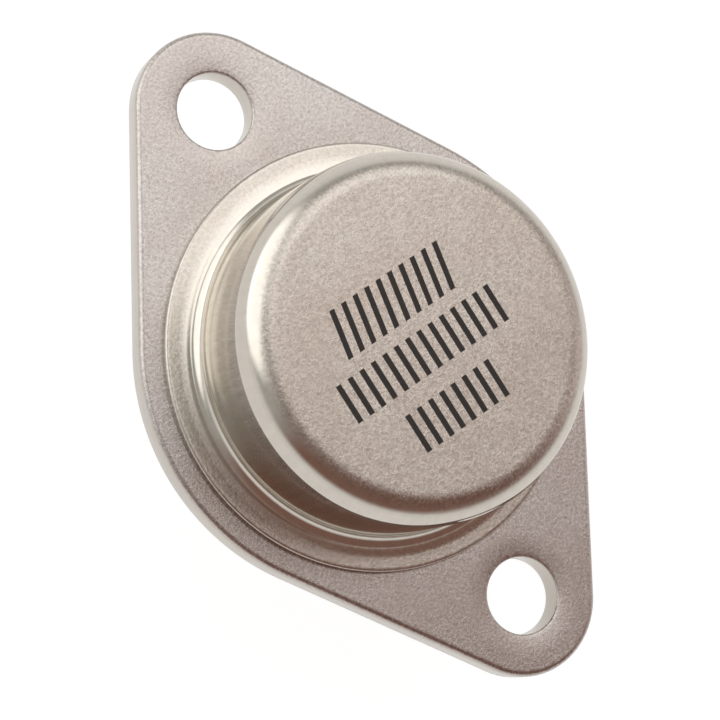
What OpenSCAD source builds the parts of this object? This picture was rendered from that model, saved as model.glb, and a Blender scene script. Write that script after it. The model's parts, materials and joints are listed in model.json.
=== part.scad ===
// Metal-can power transistor with a two-hole flange.
// A stamped steel flange carries a drawn steel can, welded on by its brim, and
// two round leads that pass through glass seals. Inside, the chip sits on a
// copper spreader, and two bond wires join it to the leads.
//
// The origin is midway between the mounting holes, on the flange's underside.
// +X runs through the mounting holes, +Z through the can. Millimetres.

/* [Flange] */
// Distance between the two mounting holes
hole_spacing = 30.15; // [29:0.05:33]
// Diameter of the mounting holes
hole_d = 4.09; // [3.6:0.01:4.4]
// Width across the round middle of the flange
flange_w = 25.1; // [24.4:0.1:27]
// Radius of the two ends, which are centred on the holes
end_r = 4.27; // [3.6:0.01:5]
// Thickness of the flange plate
flange_t = 1.55; // [1.3:0.05:2]
// Radius of the rolled edge round the top of the plate
top_edge = 0.3; // [0.1:0.05:0.5]
// Radius of the edge round the underside
bottom_edge = 0.2; // [0.05:0.01:0.3]
// Broken edge at the mouths of the mounting holes
hole_edge = 0.12; // [0.05:0.01:0.25]

/* [Can] */
// Height of the can's top above the underside of the flange
height = 8.9; // [7.5:0.1:11]
// Diameter of the can's wall
can_d = 19; // [18:0.1:19.8]
// Thickness of the sheet the can is drawn from
can_t = 0.5; // [0.35:0.05:0.7]
// Radius round the can's top
top_r = 1.5; // [0.8:0.05:2]
// Radius where the wall sweeps out into the brim
foot_r = 0.8; // [0.4:0.05:1]
// Diameter of the brim that is welded to the flange
brim_d = 22.7; // [22.2:0.1:23.2]
// Width of the ring that the welding electrode presses flat
land_w = 1; // [0.4:0.05:1.1]
// Depth to which that ring is pressed
land_depth = 0.07; // [0.02:0.01:0.15]
// Radius round the brim's upper rim
brim_edge = 0.15; // [0.05:0.01:0.25]

/* [Leads] */
// Distance between the two leads
lead_spacing = 10.92; // [10.5:0.02:11.2]
// Distance from the lead line to the middle of the flange
lead_offset = 1.815; // [1.5:0.005:2.1]
// Diameter of the leads
lead_d = 1.06; // [0.9:0.01:1.2]
// Length of the leads below the flange
lead_drop = 11.3; // [8:0.1:13.1]
// Broken edge at the leads' tips
lead_tip = 0.12; // [0.05:0.01:0.25]
// Height of the leads above the flange, inside the can
lead_rise = 1.7; // [1.3:0.05:2.4]
// Diameter of the nail head at each lead's inner end
head_d = 1.6; // [1.4:0.05:2]
// Thickness of the nail head
head_t = 0.4; // [0.2:0.05:0.6]

/* [Glass seals] */
// Diameter of the seals and of their holes in the flange
seal_d = 4.8; // [4.2:0.05:5.2]
// Depth of the glass below each face of the flange
seal_recess = 0.16; // [0.05:0.01:0.3]
// Broken edge at the seal holes' lower mouths
seal_edge = 0.12; // [0.05:0.01:0.25]
// Radius of the glass where it climbs the lead
climb_r = 0.4; // [0.2:0.05:0.6]
// Thickness at which the climbing glass ends
climb_lip = 0.04; // [0.02:0.01:0.1]

/* [Chip] */
// Length of the heat spreader along the flange
spreader_x = 6; // [5:0.1:6.4]
// Width of the heat spreader
spreader_y = 7.2; // [5.4:0.1:7.4]
// Thickness of the heat spreader
spreader_t = 0.9; // [0.5:0.05:1.3]
// Radius of the heat spreader's corners
spreader_corner = 0.5; // [0.2:0.05:1]
// Gap between the heat spreader and the middle of the flange
spreader_gap = 0.4; // [0.2:0.05:0.8]
// Side of the square chip
die_side = 4.4; // [3:0.1:4.8]
// Thickness of the chip
die_t = 0.25; // [0.2:0.01:0.4]
// Thickness of the braze under the heat spreader
braze_t = 0.06; // [0.03:0.01:0.1]
// Thickness of the solder under the chip
solder_t = 0.05; // [0.03:0.01:0.1]
// How far the braze and solder stand in from the edges they join
film_inset = 0.1; // [0.05:0.01:0.2]

/* [Bond wires] */
// Diameter of the base wire
base_wire_d = 0.38; // [0.25:0.01:0.45]
// Diameter of the emitter wire
emitter_wire_d = 0.5; // [0.38:0.01:0.55]
// Distance of each bond from the chip's middle line
pad_y = 1.1; // [0.7:0.05:1.3]
// Distance of each bond from the chip's edge
pad_inset = 1; // [0.8:0.05:1.4]
// Angle at which a wire leaves its bond
wire_angle = 50; // [35:1:60]

/* [Hidden] */
$fn = 96;
cut = 1; // how far a cutting shape runs past what it cuts
lap = 0.8; // how far the flange's straight sides run on under its rounds
hair = 0.01; // how far those sides lie inside the touching line

hole_x = hole_spacing / 2;
hole_r = hole_d / 2;
mid_r = flange_w / 2;
side_turn = acos((mid_r - end_r) / hole_x); // direction in which a straight side faces
side_len = hole_x * sin(side_turn);

can_r = can_d / 2;
brim_r = brim_d / 2;

lead_r = lead_d / 2;
lead_top = flange_t + lead_rise;
seal_r = seal_d / 2;

braze_top = flange_t + braze_t;
spreader_top = braze_top + spreader_t;
solder_top = spreader_top + solder_t;
die_top = solder_top + die_t;
chip_x = -spreader_gap - spreader_x / 2; // middle of the spreader and of the chip
pad_x = chip_x + die_side / 2 - pad_inset;

// What is left of a square corner, at the origin, once it has a radius r
module corner(r) {
    difference() {
        square(r + cut);
        circle(r);
    }
}

// Half section of the plate, out to r
module plate_section(r, from = 0) {
    difference() {
        translate([from, 0]) square([r - from, flange_t]);
        translate([r - top_edge, flange_t - top_edge]) corner(top_edge);
        translate([r - bottom_edge, bottom_edge]) mirror([0, 1]) corner(bottom_edge);
    }
}

// A straight side. It lies a hair inside the line that touches the middle round
// and an end round, and runs on under both of them.
module plate_side() {
    rotate([0, 0, side_turn]) rotate([90, 0, 0]) translate([0, 0, -lap])
        linear_extrude(side_len + 2 * lap) plate_section(mid_r - hair, mid_r - 2 * end_r);
}

module plate() {
    rotate_extrude() plate_section(mid_r);
    for (s = [-1, 1]) translate([s * hole_x, 0, 0]) rotate_extrude() plate_section(end_r);
    for (mx = [0, 1], my = [0, 1]) mirror([mx, 0, 0]) mirror([0, my, 0]) plate_side();
}

// A through hole with a broken edge at its mouths
module through(r, edge, both = true) {
    translate([0, 0, -cut]) cylinder(h = flange_t + 2 * cut, r = r);
    translate([0, 0, -cut]) cylinder(h = edge + cut, r1 = r + edge + cut, r2 = r);
    if (both) translate([0, 0, flange_t - edge])
        cylinder(h = edge + cut, r1 = r, r2 = r + edge + cut);
}

module at_leads(sides = [-1, 1]) {
    for (s = sides) translate([lead_offset, s * lead_spacing / 2, 0]) children();
}

module flange() {
    color("#b9b1a6") difference() {
        plate();
        for (s = [-1, 1]) translate([s * hole_x, 0, 0]) through(hole_r, hole_edge);
        at_leads() through(seal_r, seal_edge, false);
    }
}

// Everything within the can's outer skin, as a half section
module can_outside() {
    translate([0, flange_t]) {
        square([can_r, height - flange_t - top_r]);
        square([can_r - top_r, height - flange_t]);
        difference() {
            square([brim_r, can_t]);
            translate([brim_r - brim_edge, can_t - land_depth - brim_edge]) corner(brim_edge);
            translate([brim_r - land_w, can_t - land_depth]) square([land_w + cut, can_t]);
        }
        difference() {
            square([can_r + foot_r, can_t + foot_r]);
            translate([can_r + foot_r, can_t + foot_r]) circle(foot_r);
        }
    }
    translate([can_r - top_r, height - top_r]) circle(top_r);
}

// The can's inner skin follows the outer one, a sheet's thickness in
module can_inside() {
    translate([0, flange_t - cut])
        square([can_r - can_t, height - flange_t - top_r + cut]);
    translate([0, height - top_r]) square([can_r - top_r, top_r - can_t]);
    translate([can_r - top_r, height - top_r]) circle(top_r - can_t);
    difference() {
        translate([0, flange_t - cut]) square([can_r + foot_r, can_t + foot_r + cut]);
        translate([can_r + foot_r, flange_t + can_t + foot_r]) circle(foot_r + can_t);
        translate([can_r, flange_t - cut]) square([foot_r + cut, cut]);
    }
}

module can() {
    color("#b3aba0") rotate_extrude() difference() {
        can_outside();
        can_inside();
    }
}

// A lead, drawn round its own axis
module lead() {
    color("#a39a8c") rotate_extrude() polygon([
        [0, -lead_drop], [lead_r - lead_tip, -lead_drop], [lead_r, lead_tip - lead_drop],
        [lead_r, lead_top - head_t], [head_d / 2, lead_top - head_t],
        [head_d / 2, lead_top], [0, lead_top]
    ]);
}

// A glass seal, drawn round its own axis. The glass climbs the lead on both faces.
module seal() {
    low = seal_recess;
    high = flange_t - seal_recess;
    color("#4a4585") rotate_extrude() difference() {
        union() {
            translate([lead_r, low]) square([seal_r - lead_r, high - low]);
            translate([lead_r, low - climb_r])
                square([climb_r + climb_lip, high - low + 2 * climb_r]);
        }
        for (z = [low - climb_r, high + climb_r])
            translate([lead_r + climb_lip + climb_r, z]) circle(climb_r);
    }
}

// A flat rectangle with round corners, its middle at the origin
module rounded_plate(size, r, t) {
    linear_extrude(t) {
        square([size.x - 2 * r, size.y], center = true);
        square([size.x, size.y - 2 * r], center = true);
        for (sx = [-1, 1], sy = [-1, 1])
            translate([sx * (size.x / 2 - r), sy * (size.y / 2 - r)]) circle(r);
    }
}

module heat_spreader() {
    color("#b87333") translate([chip_x, 0, braze_top])
        rounded_plate([spreader_x, spreader_y], spreader_corner, spreader_t);
}

module spreader_braze() {
    in = 2 * film_inset;
    color("#c9b48a") translate([chip_x, 0, flange_t])
        rounded_plate([spreader_x - in, spreader_y - in], spreader_corner, braze_t);
}

module die() {
    color("#3d4048") translate([chip_x, 0, solder_top])
        linear_extrude(die_t) square(die_side, center = true);
}

module die_solder() {
    color("#8f9296") translate([chip_x, 0, spreader_top])
        linear_extrude(solder_t) square(die_side - 2 * film_inset, center = true);
}

// A wire pressed flat where it is bonded at a and at b, in one arc between them
module bond_wire(a, b, d) {
    r = d / 2;
    run = norm([b.x - a.x, b.y - a.y]);
    climb = b.z - a.z;
    slope = atan2(climb, run);
    arc_r = norm([run, climb]) / 2 / sin(wire_angle);
    back = arc_r * cos(wire_angle);
    translate(a) rotate([0, 0, atan2(b.y - a.y, b.x - a.x)]) {
        translate([run / 2 + back * sin(slope), 0, climb / 2 - back * cos(slope) + r])
            rotate([90, 0, 0]) rotate([0, 0, 90 + slope - wire_angle])
            rotate_extrude(angle = 2 * wire_angle) translate([arc_r, 0]) circle(r);
        for (p = [[0, 0], [run, climb]])
            translate([p.x - 1.9 * r, -1.25 * r, p.y]) cube([3.8 * r, 2.5 * r, 1.2 * r]);
    }
}

module wire_to(side, d) {
    color("#c4c6c8") bond_wire([pad_x, side * pad_y, die_top],
        [lead_offset, side * lead_spacing / 2, lead_top], d);
}

flange();
can();
at_leads([1]) lead();  // base_lead
at_leads([-1]) lead();  // emitter_lead
at_leads([1]) seal();  // base_seal
at_leads([-1]) seal();  // emitter_seal
heat_spreader();
spreader_braze();
die();
die_solder();
wire_to(1, base_wire_d);  // base_wire
wire_to(-1, emitter_wire_d);  // emitter_wire
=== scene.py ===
"""A metal-can power transistor with a two-hole flange, dressed for a close look.

The flange, the can, the leads, the glass seals and the printed strokes are
modelled here; the chip, its spreader, their two joining films and the bond
wires keep their own solids. Metres throughout.
"""

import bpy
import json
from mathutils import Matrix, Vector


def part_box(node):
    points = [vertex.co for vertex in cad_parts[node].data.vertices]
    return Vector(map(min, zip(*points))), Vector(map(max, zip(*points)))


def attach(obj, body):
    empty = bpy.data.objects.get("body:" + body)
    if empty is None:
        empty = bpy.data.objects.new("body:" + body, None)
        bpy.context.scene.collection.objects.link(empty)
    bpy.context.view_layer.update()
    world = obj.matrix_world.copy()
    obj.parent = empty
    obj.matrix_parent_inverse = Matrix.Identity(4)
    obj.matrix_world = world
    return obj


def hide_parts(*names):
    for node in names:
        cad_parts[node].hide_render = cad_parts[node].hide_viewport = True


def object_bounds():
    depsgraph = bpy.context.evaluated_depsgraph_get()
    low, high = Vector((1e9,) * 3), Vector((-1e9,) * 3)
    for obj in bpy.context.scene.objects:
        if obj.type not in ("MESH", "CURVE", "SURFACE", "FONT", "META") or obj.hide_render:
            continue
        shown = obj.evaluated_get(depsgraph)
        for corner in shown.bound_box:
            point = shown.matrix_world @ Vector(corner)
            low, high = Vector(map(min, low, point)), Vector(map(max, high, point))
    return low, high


bl_info = {
    "name": "Power transistor",
    "version": (1, 0, 0),
    "blender": (4, 5, 0),
    "location": "View3D > Sidebar > Transistor",
    "description": "Models a metal-can power transistor and its studio stage",
    "category": "Object",
}

import json
import math

import bmesh
import bpy
from bpy.props import FloatProperty, FloatVectorProperty, PointerProperty
from mathutils import Matrix, Vector

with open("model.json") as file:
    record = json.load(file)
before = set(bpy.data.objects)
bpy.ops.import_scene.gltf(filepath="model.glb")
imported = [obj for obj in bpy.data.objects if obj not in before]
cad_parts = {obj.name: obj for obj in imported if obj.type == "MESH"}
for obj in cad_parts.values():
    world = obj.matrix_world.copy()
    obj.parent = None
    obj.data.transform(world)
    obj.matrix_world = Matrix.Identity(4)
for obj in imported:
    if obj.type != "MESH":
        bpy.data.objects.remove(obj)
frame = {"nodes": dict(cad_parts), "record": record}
CAD_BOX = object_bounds()

MM = 0.001
# Places that the frame gives: corners of the pieces' boxes, and the mounts
FLANGE_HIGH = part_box("flange")[1]
CAN_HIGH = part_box("can")[1]
LEAD_LOW, LEAD_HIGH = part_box("base_lead")
SEAL_LOW, SEAL_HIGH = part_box("base_seal")
MOUNTS = {mount["name"]: mount for mount in frame["record"]["mounts"]}
HOLES = MOUNTS["mounting_holes"]["dims"]


def from_hex(text):
    """An sRGB hex colour as the linear values that shaders take."""
    parts = [int(text[i : i + 2], 16) / 255 for i in (1, 3, 5)]
    return [
        part / 12.92 if part <= 0.04045 else ((part + 0.055) / 1.055) ** 2.4 for part in parts
    ]


def length(name, description, value):
    """A length that a user can change, in metres."""
    return FloatProperty(
        name=name, description=description, default=value, min=0, unit="LENGTH", precision=5
    )


def colour(name, description, text):
    """A colour that a user can change, given as sRGB hex."""
    return FloatVectorProperty(
        name=name, description=description, default=from_hex(text), size=3,
        subtype="COLOR", min=0, max=1,
    )


class FlangeSizes(bpy.types.PropertyGroup):
    """Sizes of the stamped plate"""

    hole_spacing: length("Hole spacing", "Between the mounting holes", HOLES["spacing_x_mm"] * MM)
    hole_radius: length("Hole radius", "Of the mounting holes", HOLES["hole_r_mm"] * MM)
    hole_edge: length("Hole edge", "Broken edge at the holes' mouths", 0.12 * MM)
    dish_width: length("Dish width", "Of the rim that the punch drew in", 1.15 * MM)
    dish_depth: length("Dish depth", "Of that rim at the hole", 0.05 * MM)
    middle_radius: length("Middle radius", "Of the flange's round middle", FLANGE_HIGH.y)
    end_radius: length(
        "End radius", "Of the two ends", FLANGE_HIGH.x - HOLES["spacing_x_mm"] / 2 * MM
    )
    thickness: length("Thickness", "Of the plate", FLANGE_HIGH.z)
    top_edge: length("Top edge", "Radius of the rolled upper edge", 0.3 * MM)
    low_edge: length("Lower edge", "Radius of the lower edge", 0.2 * MM)
    seal_edge: length("Seal edge", "Broken edge at the seal holes' mouths", 0.12 * MM)


class CanSizes(bpy.types.PropertyGroup):
    """Sizes of the drawn can and its brim"""

    height: length("Height", "Of the top above the flange's underside", CAN_HIGH.z)
    radius: length("Radius", "Of the can's wall", 9.5 * MM)
    sheet: length("Sheet", "Thickness of the drawn sheet", 0.5 * MM)
    top_round: length("Top round", "Radius round the top", 1.5 * MM)
    foot_round: length("Foot round", "Radius from the wall into the brim", 0.6 * MM)
    brim_radius: length("Brim radius", "Of the welded brim", CAN_HIGH.x)
    brim_edge: length("Brim edge", "Radius round the brim's rim", 0.15 * MM)
    land_width: length("Land width", "Of the ring pressed by the electrode", 0.98 * MM)
    land_depth: length("Land depth", "Of that ring", 0.05 * MM)


class LeadSizes(bpy.types.PropertyGroup):
    """Sizes and places of the two leads"""

    offset: length("Offset", "From the lead line to the middle", (LEAD_LOW.x + LEAD_HIGH.x) / 2)
    half_spacing: length("Half spacing", "From the middle line", (LEAD_LOW.y + LEAD_HIGH.y) / 2)
    radius: length("Radius", "Of the leads", 0.53 * MM)
    tip: length("Tip", "Broken edge at the tips", 0.12 * MM)
    drop: length("Drop", "Below the flange", -LEAD_LOW.z)
    rise: length("Rise", "Top of the nail head", LEAD_HIGH.z)
    head_radius: length("Head radius", "Of the nail head", (LEAD_HIGH.x - LEAD_LOW.x) / 2)
    head: length("Head", "Thickness of the nail head", 0.4 * MM)


class SealSizes(bpy.types.PropertyGroup):
    """Sizes of the glass round each lead"""

    radius: length("Radius", "Of the glass", (SEAL_HIGH.x - SEAL_LOW.x) / 2)
    recess: length("Recess", "Of the glass below each face", 0.16 * MM)
    climb: length("Climb", "Radius of the glass up the lead", 0.4 * MM)
    lip: length("Lip", "Thickness at which that glass ends", 0.04 * MM)


class MarkSizes(bpy.types.PropertyGroup):
    """Sizes of the strokes printed on the can"""

    film: length("Film", "Thickness of the ink", 0.012 * MM)
    stroke: length("Stroke", "Width of one stroke", 0.3 * MM)
    pitch: length("Pitch", "From one stroke to the next", 0.74 * MM)
    tall: length("Tall row", "Height of the first row's strokes", 2.5 * MM)
    short: length("Short rows", "Height of the other rows' strokes", 2.1 * MM)


class Finishes(bpy.types.PropertyGroup):
    """Colours of the finishes, the floor and the studio"""

    plate: colour("Plate", "Plated, blasted steel of the flange", "#D0CAC6")
    plate_warm: colour("Warm plate", "Where that plating is a little browner", "#C6BDB7")
    nickel: colour("Nickel", "Plated, blasted steel of the can", "#D3CDC4")
    nickel_warm: colour("Warm nickel", "Where that plating is a little browner", "#C8BDB3")
    # Painted highlight: the near white that a few blasted specks are painted as glints
    painted_glint: colour("Glint", "The brightest specks of the blasted plate", "#F9F7F3")
    pressed: colour("Pressed nickel", "Plated steel that a tool has smoothed", "#D3CDC3")
    lead: colour("Lead", "Plated iron-nickel wire", "#C6BFB4")
    glass: colour("Glass", "Sealing glass", "#2E2A6E")
    glass_rim: colour("Glass rim", "The same where it meets the steel", "#12102C")
    ink: colour("Ink", "Marking ink", "#1C1611")
    copper: colour("Copper", "Heat spreader", "#B87350")
    braze: colour("Braze", "Silver-copper braze", "#C9BC98")
    silicon: colour("Silicon", "The chip", "#3C4048")
    solder: colour("Solder", "Lead-tin solder", "#8E9296")
    aluminium: colour("Aluminium", "Bond wires", "#C9CBCD")
    floor: colour("Floor", "Paper under the part", "#F4F4F4")
    sky_light: colour("Light side", "Of the studio, towards -X", "#B8B7B4")
    sky_dark: colour("Dark side", "Of the studio, towards +X", "#86675D")
    horizon: colour("Horizon", "Of the studio, near the floor", "#EDECEB")


class TransistorSettings(bpy.types.PropertyGroup):
    """All of the part's sizes and colours"""

    flange: PointerProperty(type=FlangeSizes)
    can: PointerProperty(type=CanSizes)
    lead: PointerProperty(type=LeadSizes)
    seal: PointerProperty(type=SealSizes)
    mark: PointerProperty(type=MarkSizes)
    finish: PointerProperty(type=Finishes)


def settings():
    return bpy.context.scene.transistor


# Materials


def add(tree, kind, values=(), **options):
    """Adds a node. values maps its inputs to numbers or to the sockets they link from."""
    made = tree.nodes.new(kind)
    for key, value in options.items():
        setattr(made, key, value)
    for key, value in dict(values).items():
        if isinstance(value, bpy.types.NodeSocket):
            tree.links.new(value, made.inputs[key])
        else:
            made.inputs[key].default_value = value
    return made


def new_material(name):
    material = bpy.data.materials.new(name)
    material.use_nodes = True
    material.node_tree.nodes.clear()
    return material, material.node_tree


def rgba(value):
    return (*value, 1.0)


def shade(value, by):
    return rgba([v * by for v in value])


def surface(tree, values):
    shader = add(tree, "ShaderNodeBsdfPrincipled", values)
    add(tree, "ShaderNodeOutputMaterial", {"Surface": shader.outputs["BSDF"]})


def place(tree, scale=(1, 1, 1), offset=(0, 0, 0)):
    """Object coordinates, moved and stretched."""
    here = add(tree, "ShaderNodeTexCoord").outputs["Object"]
    return add(
        tree, "ShaderNodeMapping", {"Vector": here, "Location": offset, "Scale": scale}
    ).outputs["Vector"]


def noise(tree, vector, size, detail=2.0, rough=0.5):
    """Noise whose features are about size metres across."""
    return add(
        tree, "ShaderNodeTexNoise",
        {"Vector": vector, "Scale": 1 / size, "Detail": detail, "Roughness": rough},
    ).outputs["Fac"]


def remap(tree, value, low, high, to_low, to_high, smooth=False):
    return add(
        tree, "ShaderNodeMapRange",
        {"Value": value, "From Min": low, "From Max": high, "To Min": to_low, "To Max": to_high},
        interpolation_type="SMOOTHSTEP" if smooth else "LINEAR",
    ).outputs["Result"]


def maths(tree, operation, a, b=0.0):
    return add(tree, "ShaderNodeMath", {0: a, 1: b}, operation=operation).outputs["Value"]


def mix_colour(tree, share, a, b):
    made = add(tree, "ShaderNodeMix", data_type="RGBA")
    for key, value in (("Factor", share), ("A", a), ("B", b)):
        socket = next(each for each in made.inputs if each.name == key and each.enabled)
        if isinstance(value, bpy.types.NodeSocket):
            tree.links.new(value, socket)
        else:
            socket.default_value = value
    return next(each for each in made.outputs if each.enabled)


def mix_number(tree, share, a, b):
    return add(tree, "ShaderNodeMix", {0: share, 2: a, 3: b}, data_type="FLOAT").outputs[0]


def nickel(name, grain_share, pale, warm, streaks):
    """Nickel plate over blasted and pressed steel, for one piece.

    The plating is dull and warm. Blasting leaves pits up to 0.2 mm wide, and a
    few of them are painted near white as glints, a painted highlight; where a tool
    or a die rubbed it, the same plate is satin, with soft streaks. grain_share(tree)
    gives 1 where the surface is blasted and 0 where it is satin. streaks stretches
    the streaks along the piece.
    """
    finish = settings().finish
    material, tree = new_material(name)
    share = grain_share(tree)
    here = place(tree)
    # The blasting grit's pits, as wide as the real ones
    grit = noise(tree, here, 0.17 * MM, 5.0, 0.75)
    # Specks in the pits that get the painted highlights, drawn coarser than real facets so that
    # they show
    fine = noise(tree, here, 0.07 * MM, 3.0, 0.6)
    # Slow changes of tone that a plating bath leaves
    cloud = noise(tree, here, 5 * MM, 3.0, 0.55)
    # Marks of the die, also drawn coarser than the real ones
    drawn = noise(tree, place(tree, streaks), 0.45 * MM, 3.0, 0.6)
    blasted = mix_colour(tree, remap(tree, cloud, 0.35, 0.65, 0, 1), rgba(pale), rgba(warm))
    pitted = mix_colour(tree, remap(tree, grit, 0.3, 0.62, 0, 1), shade(warm, 0.6), blasted)
    # Painted highlights: where both noises peak, the pits are mixed towards near white as glints
    painted_glint = maths(
        tree, "MULTIPLY", remap(tree, fine, 0.62, 0.72, 0, 1), remap(tree, grit, 0.5, 0.65, 0, 0.6)
    )
    pitted_with_painted_glints = mix_colour(tree, painted_glint, pitted, rgba(finish.painted_glint))
    worn = remap(tree, drawn, 0.35, 0.65, 0, 1)
    satin = mix_colour(tree, worn, shade(finish.pressed, 0.93), rgba(finish.pressed))
    rough = mix_number(
        tree, share, remap(tree, drawn, 0.3, 0.7, 0.1, 0.14), remap(tree, grit, 0.3, 0.7, 0.2, 0.3)
    )
    height = mix_number(tree, share, maths(tree, "MULTIPLY", drawn, 0.1), grit)
    bump = add(
        tree, "ShaderNodeBump", {"Strength": 0.35, "Distance": 0.05 * MM, "Height": height}
    ).outputs["Normal"]
    # The satin, and the blasted grain with its painted highlights
    base = mix_colour(tree, share, satin, pitted_with_painted_glints)
    surface(tree, {"Base Color": base, "Metallic": 1.0, "Roughness": rough, "Normal": bump})
    return material


def flange_nickel():
    """Nickel plate over stamped, blasted steel: a fine grain on top, satin down its sides."""
    sizes, finish = settings().flange, settings().finish

    def share(tree):
        z = add(tree, "ShaderNodeSeparateXYZ", {0: place(tree)}).outputs["Z"]
        top = sizes.thickness
        return remap(tree, z, top - 0.28 * MM, top - 0.05 * MM, 0.15, 1, True)

    return nickel(
        "Nickel-plated blasted steel", share, finish.plate, finish.plate_warm, (0.2, 0.2, 1)
    )


def can_nickel():
    """Nickel plate over drawn steel: blasted on top, satin on the wall and half rubbed smooth
    on the brim, where the welding electrode pressed."""
    sizes, finish = settings().can, settings().finish
    land = settings().flange.thickness + sizes.sheet

    def share(tree):
        z = add(tree, "ShaderNodeSeparateXYZ", {0: place(tree)}).outputs["Z"]
        top = remap(tree, z, sizes.height - 0.3 * MM, sizes.height - 0.03 * MM, 0, 1, True)
        brim = remap(tree, z, land - sizes.land_depth, land + 0.02 * MM, 0.6, 0, True)
        return maths(tree, "ADD", top, brim)

    return nickel(
        "Nickel-plated drawn steel", share, finish.nickel, finish.nickel_warm, (1, 1, 0.1)
    )


def lead_metal():
    """Nickel plate over drawn iron-nickel wire: satin, with draw lines along it."""
    finish = settings().finish
    material, tree = new_material("Nickel-plated drawn wire")
    # Draw lines: drawn coarser than the real ones, which are a few hundredths of a millimetre
    lines = noise(tree, place(tree, (1, 1, 0.02)), 0.08 * MM, 2.0)
    worn = remap(tree, lines, 0.3, 0.7, 0, 1)
    base = mix_colour(tree, worn, shade(finish.lead, 0.72), rgba(finish.lead))
    rough = remap(tree, lines, 0.3, 0.7, 0.2, 0.36)
    bump = add(
        tree, "ShaderNodeBump", {"Strength": 0.4, "Distance": 0.02 * MM, "Height": lines}
    ).outputs["Normal"]
    surface(tree, {"Base Color": base, "Metallic": 1.0, "Roughness": rough, "Normal": bump})
    return material


def seal_glass():
    """Opaque sealing glass, melted in place: glossy, dark blue, darker at its rim."""
    finish, lead, seal = settings().finish, settings().lead, settings().seal
    material, tree = new_material("Fused sealing glass")
    here = place(tree)
    apart = add(tree, "ShaderNodeSeparateXYZ", {0: here})
    across = maths(tree, "SUBTRACT", apart.outputs["X"], lead.offset)
    along = maths(tree, "SUBTRACT", maths(tree, "ABSOLUTE", apart.outputs["Y"]), lead.half_spacing)
    out = maths(
        tree, "SQRT",
        maths(tree, "ADD", maths(tree, "POWER", across, 2.0), maths(tree, "POWER", along, 2.0)),
    )
    rim = remap(tree, out, seal.radius * 0.8, seal.radius, 0, 1, True)
    swirl = noise(tree, here, 0.5 * MM, 3.0)
    body = mix_colour(
        tree, remap(tree, swirl, 0.35, 0.65, 0, 1), rgba(finish.glass),
        rgba([min(1, v * 1.5) for v in finish.glass]),
    )
    base = mix_colour(tree, rim, body, rgba(finish.glass_rim))
    bump = add(
        tree, "ShaderNodeBump", {"Strength": 0.25, "Distance": 0.02 * MM, "Height": swirl}
    ).outputs["Normal"]
    surface(
        tree,
        {"Base Color": base, "Roughness": 0.07, "IOR": 1.52, "Normal": bump,
         "Coat Weight": 0.4, "Coat Roughness": 0.03},
    )
    return material


def marking_ink():
    """Pad-printed epoxy ink: thin, near black, and a little uneven."""
    finish = settings().finish
    material, tree = new_material("Pad-printed epoxy ink")
    here = place(tree)
    wear = noise(tree, here, 0.12 * MM, 3.0)
    thin = remap(tree, wear, 0.45, 0.75, 0, 1)
    base = mix_colour(tree, thin, rgba(finish.ink), shade(finish.ink, 2.2))
    bump = add(
        tree, "ShaderNodeBump", {"Strength": 0.4, "Distance": 0.02 * MM, "Height": wear}
    ).outputs["Normal"]
    surface(tree, {"Base Color": base, "Roughness": 0.55, "Normal": bump})
    return material


def plain_metal(name, value, size, rough, stretch=(1, 1, 1)):
    """An inner metal: its colour and roughness vary a little over size metres."""
    material, tree = new_material(name)
    grain = noise(tree, place(tree, stretch), size, 3.0)
    base = mix_colour(tree, remap(tree, grain, 0.3, 0.7, 0, 1), shade(value, 0.8), rgba(value))
    bump = add(
        tree, "ShaderNodeBump", {"Strength": 0.3, "Distance": 0.02 * MM, "Height": grain}
    ).outputs["Normal"]
    surface(
        tree,
        {"Base Color": base, "Metallic": 1.0, "Normal": bump,
         "Roughness": remap(tree, grain, 0.3, 0.7, rough - 0.05, rough + 0.08)},
    )
    return material


# Modelling


# An edge that bends by more than this stays sharp
SHARP = math.radians(30)
# Steps along the flange's long arcs, round the holes and round the lathed pieces
ARC_STEPS = 48
HOLE_STEPS = 96
CAN_STEPS = 256
LEAD_STEPS = 64
SEAL_STEPS = 96
# Steps across the rim that the punch drew in
DISH_STEPS = 6


def keep(bm, name, material, replaced):
    """Turns a bmesh into a finished piece that rides with the transistor."""
    bmesh.ops.remove_doubles(bm, verts=bm.verts, dist=0.0004 * MM)
    bmesh.ops.recalc_face_normals(bm, faces=bm.faces)
    for face in bm.faces:
        face.smooth = True
    for edge in bm.edges:
        if len(edge.link_faces) == 2 and edge.calc_face_angle(0) > SHARP:
            edge.smooth = False
    mesh = bpy.data.meshes.new(name)
    bm.to_mesh(mesh)
    bm.free()
    mesh.materials.append(material)
    piece = bpy.data.objects.new(name, mesh)
    bpy.context.scene.collection.objects.link(piece)
    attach(piece, "root")
    if replaced:
        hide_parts(*replaced)


def lathe(bm, corners, steps, centre=(0, 0)):
    """Spins a closed section round the upright line through centre.

    corners are (radius, height, rounding, segments). The section starts and
    ends on the axis, or closes on itself where it never touches the axis.
    """
    cx, cy = centre
    made = [bm.verts.new((cx + r, cy, z)) for r, z, _, _ in corners]
    loop = zip(made, made[1:] if corners[0][0] == 0 else made[1:] + made[:1])
    for a, b in loop:
        bm.edges.new((a, b))
    for vert, (_, _, rounding, segments) in zip(made, corners):
        if rounding > 0:
            bmesh.ops.bevel(
                bm, geom=[vert], offset=rounding, offset_type="OFFSET", segments=segments,
                profile=0.5, affect="VERTICES", material=-1,
            )
    bmesh.ops.spin(
        bm, geom=bm.verts[:] + bm.edges[:], cent=(cx, cy, 0), axis=(0, 0, 1),
        angle=math.tau, steps=steps, use_merge=True,
    )


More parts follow.
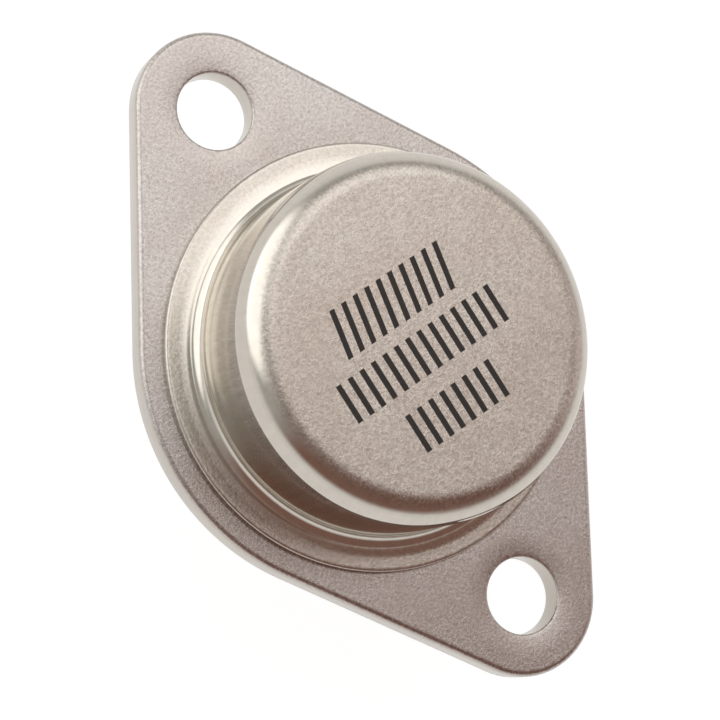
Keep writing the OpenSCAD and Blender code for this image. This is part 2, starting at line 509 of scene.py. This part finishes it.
def flange_ring(bm, z, inset):
    """One outline of the plate at height z, drawn in by inset. Returns its edges."""
    sizes = settings().flange
    hole_x = sizes.hole_spacing / 2
    # The angle at which the straight sides touch the arcs
    side = math.acos((sizes.middle_radius - sizes.end_radius) / hole_x)
    # Each arc's middle on x, its radius, its first and last angle, and its steps
    arcs = (
        (hole_x, sizes.end_radius, -side, side, ARC_STEPS // 2),
        (0, sizes.middle_radius, side, math.pi - side, ARC_STEPS),
        (-hole_x, sizes.end_radius, math.pi - side, math.pi + side, ARC_STEPS // 2),
        (0, sizes.middle_radius, math.pi + side, math.tau - side, ARC_STEPS),
    )
    before, ends = set(bm.edges), []
    for x, radius, first, last, count in arcs:
        out = radius - inset
        start = bm.verts.new((x + out * math.cos(first), out * math.sin(first), z))
        spun = bmesh.ops.spin(
            bm, geom=[start], cent=(x, 0, z), axis=(0, 0, 1), angle=last - first,
            steps=count, use_merge=False,
        )
        stop = next(v for v in spun["geom_last"] if isinstance(v, bmesh.types.BMVert))
        ends.append((start, stop))
    for (_, stop), (start, _) in zip(ends, ends[1:] + ends[:1]):
        bm.edges.new((stop, start))
    return [edge for edge in bm.edges if edge not in before]


def hole_ring(bm, x, y, z, radius):
    """A level circle round a hole. Returns its edges."""
    before = set(bm.edges)
    bmesh.ops.create_circle(
        bm, segments=HOLE_STEPS, radius=radius, matrix=Matrix.Translation((x, y, z))
    )
    return [edge for edge in bm.edges if edge not in before]


def join_rings(bm, rings):
    """Skins a wall over the rings, from the first to the last."""
    for low, high in zip(rings, rings[1:]):
        bmesh.ops.bridge_loops(bm, edges=low + high)


def quarter_round(radius, segments):
    """Steps round a quarter circle as (inset, drop) pairs, from the side to the face."""
    angles = [math.pi / 2 * i / segments for i in range(segments + 1)]
    return [(radius * (1 - math.cos(a)), radius * (1 - math.sin(a))) for a in angles]


def hole_wall(top, radius, low, high):
    """Steps up a hole's wall as (height, radius), with its mouths rounded by low and high."""
    levels = [(drop, radius + inset) for inset, drop in reversed(quarter_round(low, 4))]
    if not high:
        return levels + [(top, radius)]
    return levels + [(top - drop, radius + inset) for inset, drop in quarter_round(high, 4)]


def dished_rim(top, radius, width, depth):
    """Steps out from a hole's mouth over the rim that the punch drew in, as (height, radius)."""
    shares = [i / DISH_STEPS for i in range(1, DISH_STEPS + 1)]
    return [(top - depth * (1 - share) ** 2, radius + width * share) for share in shares]


def flat_face(bm, edges):
    """Fills the plate's face. A narrow band along each edge keeps its shading flat."""
    filled = bmesh.ops.triangle_fill(bm, edges=edges, use_beauty=True)["geom"]
    flat = [each for each in filled if isinstance(each, bmesh.types.BMFace)]
    bmesh.ops.inset_region(
        bm, faces=flat, thickness=0.1 * MM, use_boundary=True, use_even_offset=True
    )


class TRANSISTOR_OT_flange(bpy.types.Operator):
    """Make the flange plate with its holes and rolled edges"""

    bl_idname = "transistor.flange"
    bl_label = "Flange"

    def execute(self, context):
        sizes, lead = settings().flange, settings().lead
        bm = bmesh.new()
        top = sizes.thickness
        levels = [(drop, inset) for inset, drop in reversed(quarter_round(sizes.low_edge, 4))]
        levels += [(top - drop, inset) for inset, drop in quarter_round(sizes.top_edge, 7)]
        outlines = [flange_ring(bm, z, inset) for z, inset in levels]
        join_rings(bm, outlines)
        underside, upper = list(outlines[0]), list(outlines[-1])
        radius, edge = sizes.hole_radius, sizes.hole_edge
        mounting = hole_wall(top - sizes.dish_depth, radius, edge, edge)
        mounting += dished_rim(top, radius + edge, sizes.dish_width, sizes.dish_depth)
        sealed = hole_wall(top, settings().seal.radius, sizes.seal_edge, 0)
        holes = [(side * sizes.hole_spacing / 2, 0, mounting) for side in (-1, 1)]
        holes += [(lead.offset, side * lead.half_spacing, sealed) for side in (-1, 1)]
        for x, y, wall in holes:
            rings = [hole_ring(bm, x, y, z, out) for z, out in wall]
            join_rings(bm, rings)
            underside += rings[0]
            upper += rings[-1]
        flat_face(bm, underside)
        flat_face(bm, upper)
        keep(bm, "flange_plate", flange_nickel(), ["flange"])
        return {"FINISHED"}


class TRANSISTOR_OT_can(bpy.types.Operator):
    """Draw the can with its pressed brim"""

    bl_idname = "transistor.can"
    bl_label = "Can"

    def execute(self, context):
        sizes = settings().can
        low = settings().flange.thickness
        face = low + sizes.sheet
        land = sizes.brim_radius - sizes.land_width
        pressed = face - sizes.land_depth
        inner = sizes.radius - sizes.sheet
        soft = 0.1 * MM
        # A corner just inside a rounding, with none of its own, keeps the flat beside it flat
        corners = (
            (0, sizes.height, 0, 1),
            (sizes.radius - sizes.top_round - 0.15 * MM, sizes.height, 0, 1),
            (sizes.radius, sizes.height, sizes.top_round, 12),
            (sizes.radius, face, sizes.foot_round, 10),
            (land - 0.15 * MM, face, soft, 3),
            (land + 0.2 * MM, pressed, soft, 3),
            (sizes.brim_radius - sizes.brim_edge - 0.1 * MM, pressed, 0, 1),
            (sizes.brim_radius, pressed, sizes.brim_edge, 5),
            (sizes.brim_radius, low, 0, 1),
            (inner, low, sizes.foot_round + sizes.sheet, 8),
            (inner, sizes.height - sizes.sheet, sizes.top_round - sizes.sheet, 8),
            (0, sizes.height - sizes.sheet, 0, 1),
        )
        bm = bmesh.new()
        lathe(bm, corners, CAN_STEPS)
        keep(bm, "drawn_can", can_nickel(), ["can"])
        return {"FINISHED"}


class TRANSISTOR_OT_leads(bpy.types.Operator):
    """Make the two leads with their nail heads"""

    bl_idname = "transistor.leads"
    bl_label = "Leads"

    def execute(self, context):
        sizes = settings().lead
        metal = lead_metal()
        corners = (
            (0, -sizes.drop, 0, 1),
            (sizes.radius, -sizes.drop, sizes.tip, 4),
            (sizes.radius, sizes.rise - sizes.head, 0, 1),
            (sizes.head_radius, sizes.rise - sizes.head, 0, 1),
            (sizes.head_radius, sizes.rise, 0.08 * MM, 3),
            (0, sizes.rise, 0, 1),
        )
        for side, name in ((1, "base"), (-1, "emitter")):
            bm = bmesh.new()
            lathe(bm, corners, LEAD_STEPS, (sizes.offset, side * sizes.half_spacing))
            keep(bm, name + "_lead_wire", metal, [name + "_lead"])
        return {"FINISHED"}


class TRANSISTOR_OT_seals(bpy.types.Operator):
    """Melt the glass seals round the leads"""

    bl_idname = "transistor.seals"
    bl_label = "Glass seals"

    def execute(self, context):
        sizes, lead = settings().seal, settings().lead
        glass = seal_glass()
        low, high = sizes.recess, settings().flange.thickness - sizes.recess
        foot = lead.radius + sizes.lip
        corners = (
            (lead.radius, low - sizes.climb, 0, 1),
            (foot, low - sizes.climb, 0, 1),
            (foot, low, sizes.climb, 8),
            (sizes.radius, low, 0.05 * MM, 2),
            (sizes.radius, high, 0.05 * MM, 2),
            (foot, high, sizes.climb, 8),
            (foot, high + sizes.climb, 0, 1),
            (lead.radius, high + sizes.climb, 0, 1),
        )
        for side, name in ((1, "base"), (-1, "emitter")):
            bm = bmesh.new()
            lathe(bm, corners, SEAL_STEPS, (lead.offset, side * lead.half_spacing))
            keep(bm, name + "_glass", glass, [name + "_seal"])
        return {"FINISHED"}


class TRANSISTOR_OT_chip(bpy.types.Operator):
    """Finish the chip, its spreader and its bond wires"""

    bl_idname = "transistor.chip"
    bl_label = "Chip and wires"

    def execute(self, context):
        finish = settings().finish
        # Rolled copper: satin and reddish, with rolling lines along y
        copper = plain_metal("Rolled copper", finish.copper, 0.2 * MM, 0.3, (1, 0.1, 1))
        # Silver-copper braze, melted in place: pale yellow, dull and a little lumpy
        braze = plain_metal("Silver-copper braze", finish.braze, 0.15 * MM, 0.35)
        # Silicon, etched: dark blue-grey and nearly a mirror
        silicon = plain_metal("Etched silicon", finish.silicon, 0.4 * MM, 0.18)
        # Soft solder, reflowed: grey, dull, with a fine crystal grain
        solder = plain_metal("Reflowed solder", finish.solder, 0.1 * MM, 0.35)
        # Aluminium wire, drawn: bright, with faint scratches
        aluminium = plain_metal("Drawn aluminium wire", finish.aluminium, 0.05 * MM, 0.28)
        looks = {
            "heat_spreader": copper, "spreader_braze": braze, "die": silicon,
            "die_solder": solder, "base_wire": aluminium, "emitter_wire": aluminium,
        }
        for name, material in looks.items():
            for slot in frame["nodes"][name].material_slots:
                slot.material = material
        return {"FINISHED"}


class TRANSISTOR_OT_mark(bpy.types.Operator):
    """Print rows of plain strokes on the can's top"""

    bl_idname = "transistor.mark"
    bl_label = "Printed strokes"

    def execute(self, context):
        sizes = settings().mark
        top = settings().can.height
        # Each row's middle across x, its first stroke's y, its strokes, their height and slant
        rows = (
            (-2.3 * MM, -3.9 * MM, 10, sizes.tall, 0.2),
            (0.73 * MM, -5.5 * MM, 14, sizes.short, 0),
            (3.85 * MM, -3.25 * MM, 8, sizes.short, 0),
        )
        bm = bmesh.new()
        for across, first, count, height, slant in rows:
            for i in range(count):
                spot = Matrix.Translation((across, first + i * sizes.pitch, top + sizes.film / 2))
                lean = Matrix.Shear("YZ", 4, (-slant, 0))
                size = Matrix.Diagonal((height, sizes.stroke, sizes.film, 1))
                bmesh.ops.create_cube(bm, size=1, matrix=spot @ lean @ size)
        keep(bm, "ink_strokes", marking_ink(), [])
        return {"FINISHED"}


# Stage


WHITE = (1, 1, 1, 1)
# Shares of plain white in the paper, to the camera and in a reflection, and its strength
PLAIN_SEEN = 0.8
PLAIN_MIRRORED = 0.5
PLAIN_WHITE = 1.14
# How far the paper reaches each way, and how far below the lead tips it lies
FLOOR_REACH = 1.5
FLOOR_GAP = 0.01 * MM


def paper():
    """Matte white paper. To the camera it is mostly plain white, and in a reflection
    half so, and both keep some of the object's shadow. From below it is clear."""
    material, tree = new_material("Matte white paper")
    ray = add(tree, "ShaderNodeLightPath")
    mirrored = maths(
        tree, "MAXIMUM", ray.outputs["Is Glossy Ray"], ray.outputs["Is Transmission Ray"]
    )
    seen = maths(
        tree, "MAXIMUM", maths(tree, "MULTIPLY", ray.outputs["Is Camera Ray"], PLAIN_SEEN),
        maths(tree, "MULTIPLY", mirrored, PLAIN_MIRRORED),
    )
    fibre = noise(tree, place(tree), 1.5 * MM, 2.0)
    floor = settings().finish.floor
    base = mix_colour(tree, remap(tree, fibre, 0.3, 0.7, 0, 1), shade(floor, 0.98), rgba(floor))
    lit = add(tree, "ShaderNodeBsdfDiffuse", {"Color": base}).outputs["BSDF"]
    plain = add(tree, "ShaderNodeEmission", {"Color": WHITE, "Strength": PLAIN_WHITE})
    mixed = add(
        tree, "ShaderNodeMixShader",
        {0: seen, 1: lit, 2: plain.outputs["Emission"]},
    ).outputs["Shader"]
    below = add(tree, "ShaderNodeNewGeometry").outputs["Backfacing"]
    clear = add(tree, "ShaderNodeBsdfTransparent").outputs["BSDF"]
    both = add(tree, "ShaderNodeMixShader", {0: below, 1: mixed, 2: clear}).outputs["Shader"]
    add(tree, "ShaderNodeOutputMaterial", {"Surface": both})
    return material


# The studio's soft lights: where each hangs, the angles in degrees at which it starts
# to fade and ends, and its radiance. They stand overhead, to the left and behind.
GLOWS = (
    ((-0.24, 0.41, 0.88), 16, 26, 1.22),
    ((-0.72, -0.36, 0.52), 24, 39, 1.2),
    ((0.35, 0.75, 0.55), 4, 16, 1.0),
)


def sky(light, dark, horizon, glows):
    """A plain surround that falls from light to dark across x, paler near the
    horizon, and white to the camera. Each glow is a soft round patch in it."""
    world = bpy.data.worlds.new("Studio")
    bpy.context.scene.world = world
    world.use_nodes = True
    tree = world.node_tree
    tree.nodes.clear()
    ray = add(tree, "ShaderNodeLightPath")
    towards = add(tree, "ShaderNodeTexCoord").outputs["Generated"]
    axes = add(tree, "ShaderNodeSeparateXYZ", {0: towards}).outputs
    across = remap(tree, axes["X"], -0.12, 0.3, 0, 1, True)
    above = mix_colour(tree, across, rgba(light), rgba(dark))
    tone = mix_colour(tree, remap(tree, axes["Z"], 0.1, 0.5, 0, 1, True), rgba(horizon), above)
    for direction, full, ends, radiance in glows:
        facing = add(
            tree, "ShaderNodeVectorMath", {0: towards, 1: Vector(direction).normalized()},
            operation="DOT_PRODUCT",
        ).outputs["Value"]
        edge, middle = math.cos(math.radians(ends)), math.cos(math.radians(full))
        glow = remap(tree, facing, edge, middle, 0, radiance, True)
        tone = add(
            tree, "ShaderNodeVectorMath", {0: tone, 1: glow}, operation="ADD"
        ).outputs["Vector"]
    around = add(tree, "ShaderNodeBackground", {"Color": tone, "Strength": 1.0})
    behind = add(tree, "ShaderNodeBackground", {"Color": WHITE, "Strength": 1.0})
    mixed = add(
        tree, "ShaderNodeMixShader",
        {0: ray.outputs["Is Camera Ray"], 1: around.outputs[0], 2: behind.outputs[0]},
    )
    add(tree, "ShaderNodeOutputWorld", {"Surface": mixed.outputs["Shader"]})


# The camera's turn, as its right, up and backward axes in the part's own frame
CAMERA_RIGHT = (0.53455, 0.75997, 0.36974)
CAMERA_UP = (-0.84159, 0.51873, 0.15049)
CAMERA_BACK = (-0.07743, -0.39161, 0.91687)
CAMERA_DISTANCE = 120.5 * MM
CAMERA_LENS = 113.7


class TRANSISTOR_OT_stage(bpy.types.Operator):
    """Lay the floor, light the studio and place the camera"""

    bl_idname = "transistor.stage"
    bl_label = "Stage"

    def execute(self, context):
        scene = context.scene
        bm = bmesh.new()
        bmesh.ops.create_grid(
            bm, x_segments=1, y_segments=1, size=FLOOR_REACH,
            matrix=Matrix.Translation((0, 0, CAD_BOX[0].z - FLOOR_GAP)),
        )
        mesh = bpy.data.meshes.new("floor")
        bm.to_mesh(mesh)
        bm.free()
        mesh.materials.append(paper())
        floor = bpy.data.objects.new("floor", mesh)
        scene.collection.objects.link(floor)
        finish = settings().finish
        sky(finish.sky_light, finish.sky_dark, finish.horizon, GLOWS)
        camera = bpy.data.cameras.new("camera")
        camera.sensor_width = 36
        camera.lens = CAMERA_LENS
        camera.clip_start, camera.clip_end = 0.01, 10
        holder = bpy.data.objects.new("camera", camera)
        turned = Matrix((CAMERA_RIGHT, CAMERA_UP, CAMERA_BACK)).transposed()
        holder.rotation_mode = "QUATERNION"
        holder.rotation_quaternion = turned.to_quaternion()
        holder.location = Vector(CAMERA_BACK) * CAMERA_DISTANCE
        scene.collection.objects.link(holder)
        scene.camera = holder
        scene.view_settings.view_transform = "Standard"
        return {"FINISHED"}


class TRANSISTOR_PT_parts(bpy.types.Panel):
    """Lists the transistor's pieces, sizes and colours"""

    bl_label = "Power transistor"
    bl_idname = "TRANSISTOR_PT_parts"
    bl_space_type = "VIEW_3D"
    bl_region_type = "UI"
    bl_category = "Transistor"

    def draw(self, context):
        for title, key in (
            ("Flange", "flange"), ("Can", "can"), ("Leads", "lead"),
            ("Seals", "seal"), ("Print", "mark"), ("Finishes", "finish"),
        ):
            group = getattr(settings(), key)
            box = self.layout.box()
            box.label(text=title)
            for name in group.bl_rna.properties.keys():
                if name not in ("rna_type", "name"):
                    box.prop(group, name)
        for maker in MAKERS:
            self.layout.operator(maker.bl_idname)


MAKERS = (
    TRANSISTOR_OT_flange,
    TRANSISTOR_OT_can,
    TRANSISTOR_OT_leads,
    TRANSISTOR_OT_seals,
    TRANSISTOR_OT_chip,
    TRANSISTOR_OT_mark,
    TRANSISTOR_OT_stage,
)
CLASSES = (
    FlangeSizes, CanSizes, LeadSizes, SealSizes, MarkSizes, Finishes, TransistorSettings,
    *MAKERS, TRANSISTOR_PT_parts,
)


def register():
    for each in CLASSES:
        bpy.utils.register_class(each)
    bpy.types.Scene.transistor = PointerProperty(type=TransistorSettings)


def unregister():
    del bpy.types.Scene.transistor
    for each in reversed(CLASSES):
        bpy.utils.unregister_class(each)


def main():
    register()
    bpy.ops.transistor.flange()
    bpy.ops.transistor.can()
    bpy.ops.transistor.leads()
    bpy.ops.transistor.seals()
    bpy.ops.transistor.chip()
    bpy.ops.transistor.mark()
    bpy.ops.transistor.stage()


if __name__ == "__main__":
    main()
